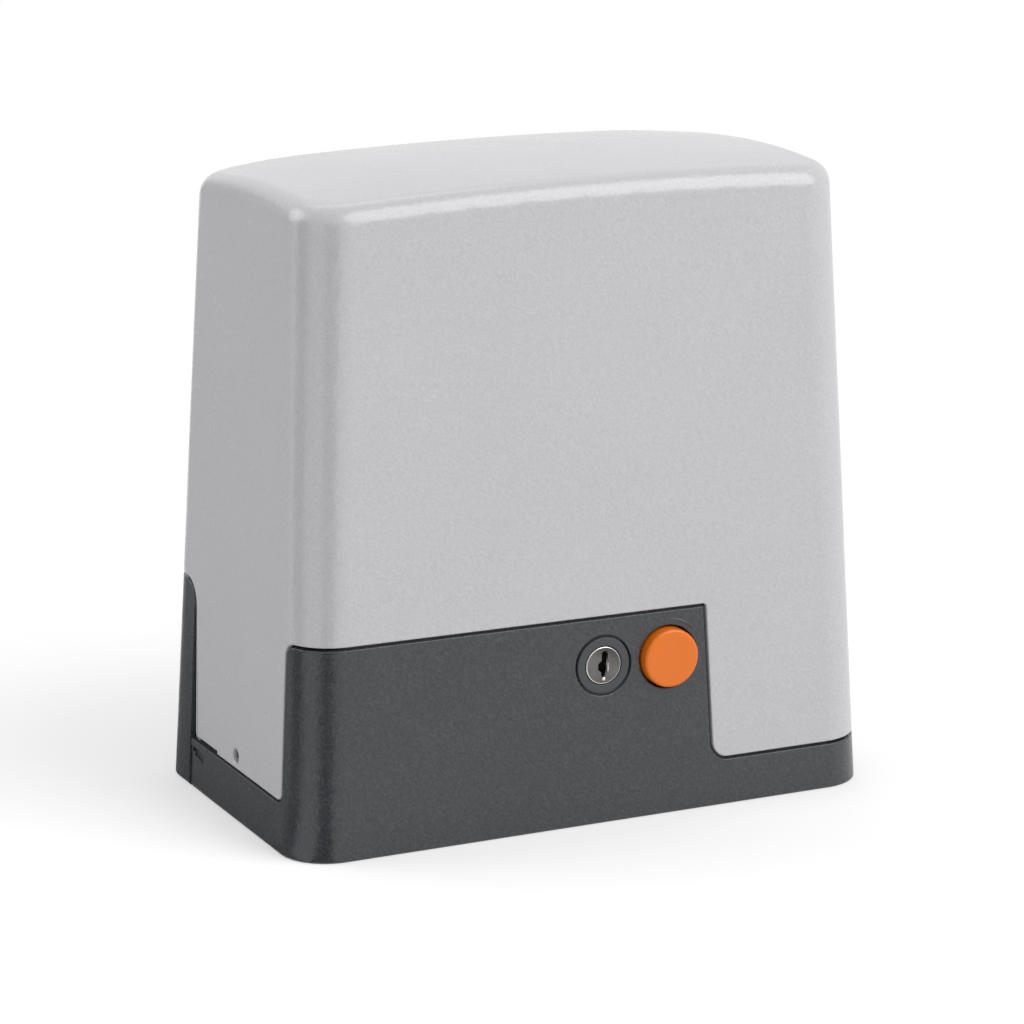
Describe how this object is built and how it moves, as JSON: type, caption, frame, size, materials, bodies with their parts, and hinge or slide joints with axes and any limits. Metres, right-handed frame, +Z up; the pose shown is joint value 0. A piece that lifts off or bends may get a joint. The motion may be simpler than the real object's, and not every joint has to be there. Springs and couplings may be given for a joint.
{
  "type": "sliding gate motor",
  "caption": "Floor-standing sliding gate operator with a dark base, domed light cover, key lock, push release button and rear output pinion.",
  "frame": {"origin": "middle of the underside of the base", "axes": "+Z up, +X to the right seen from the front, +Y from the front to the gate side where the pinion is"},
  "size_m": [0.2998, 0.2074, 0.307],
  "materials": {
    "cover_plastic": "light grey fine-grained moulded plastic",
    "base_plastic": "anthracite fine-grained moulded plastic",
    "escutcheon_plastic": "anthracite moulded plastic",
    "orange_plastic": "satin orange moulded plastic",
    "black_plastic": "black moulded plastic",
    "terminal_plastic": "green terminal plastic",
    "capacitor_sleeve": "dark sleeve",
    "board_laminate": "green circuit board",
    "rubber_black": "black rubber",
    "lock_metal": "nickel-plated, turned",
    "bright_steel": "ground steel",
    "pinion_steel": "machined steel",
    "spring_steel": "spring steel",
    "screw_steel": "zinc-plated steel",
    "zinc_steel": "zinc-plated sheet steel",
    "lamination_steel": "stacked electrical sheet",
    "cast_aluminium": "die-cast",
    "motor_paint": "black painted steel",
    "bronze": "cut bronze",
    "copper_enamel": "enamelled copper"
  },
  "bodies": {
    "housing": {"base_housing": "base_plastic", "board_screws": "screw_steel", "board_tray": "black_plastic", "cable_grommet": "rubber_black", "capacitor_clamp": "zinc_steel", "capacitor_screw": "screw_steel", "control_board": "board_laminate", "filter_capacitors": "capacitor_sleeve", "front_bearing": "bright_steel", "gearbox_foot_screws": "screw_steel", "gearbox_housing": "cast_aluminium", "gearbox_lid": "cast_aluminium", "gearbox_lid_screws": "screw_steel", "lock_barrel": "escutcheon_plastic", "lock_nut": "zinc_steel", "mains_fuse": "black_plastic", "motor_can": "motor_paint", "motor_shield": "cast_aluminium", "motor_tie_rods": "screw_steel", "output_seal": "rubber_black", "panel_screws": "screw_steel", "processor_chip": "black_plastic", "rear_bearing": "bright_steel", "rear_panel": "base_plastic", "relays": "black_plastic", "rotor_bearing": "bright_steel", "run_capacitor": "capacitor_sleeve", "shield_bearing": "bright_steel", "stator_core": "lamination_steel", "stator_windings": "copper_enamel", "terminal_blocks": "terminal_plastic", "transformer_bracket": "zinc_steel", "transformer_coil": "copper_enamel", "transformer_core": "lamination_steel", "transformer_screws": "screw_steel", "tray_screws": "screw_steel", "worm_bearing": "bright_steel"},
    "cover": {"cover_shell": "cover_plastic", "cover_screws": "screw_steel", "cover_nuts": "screw_steel"},
    "button": {"release_button": "orange_plastic", "release_rod": "bright_steel", "release_clip": "spring_steel", "release_spring": "spring_steel"},
    "lock": {"lock_core": "lock_metal", "lock_cam": "zinc_steel", "lock_cam_screw": "screw_steel"},
    "rotor": {"worm_shaft": "bright_steel", "rotor_core": "lamination_steel", "encoder_disc": "black_plastic"},
    "output": {"output_shaft": "bright_steel", "wheel_key": "bright_steel", "pinion_key": "bright_steel", "worm_wheel": "bronze", "wheel_circlip": "spring_steel", "output_pinion": "pinion_steel", "pinion_washer": "zinc_steel", "pinion_bolt": "screw_steel"}
  },
  "joints": [
    {"name": "cover_lift", "type": "slide", "parent": "housing", "child": "cover", "axis": [0, 0, 1], "range_m": [0, 0.3]},
    {"name": "button_push", "type": "slide", "parent": "housing", "child": "button", "axis": [0, 1, 0], "range_m": [0, 0.004], "stiffness_N_per_m": 600, "springref_m": -0.006, "deforming": ["release_spring"]},
    {"name": "lock_turn", "type": "hinge", "parent": "housing", "child": "lock", "pos_m": [0.006, -0.08415, 0.0762], "axis": [0, 1, 0], "range_deg": [0, 90]},
    {"name": "output_spin", "type": "hinge", "parent": "housing", "child": "output", "pos_m": [0.04, 0.08369, 0.0762], "axis": [0, 1, 0], "continuous": true},
    {"name": "rotor_spin", "type": "hinge", "parent": "housing", "child": "rotor", "pos_m": [-0.012, 0.024, 0.15], "axis": [0, 0, 1], "continuous": true}
  ],
  "couplings": [
    {"joint": "rotor_spin", "follows": "output_spin", "ratio": -40}
  ]
}
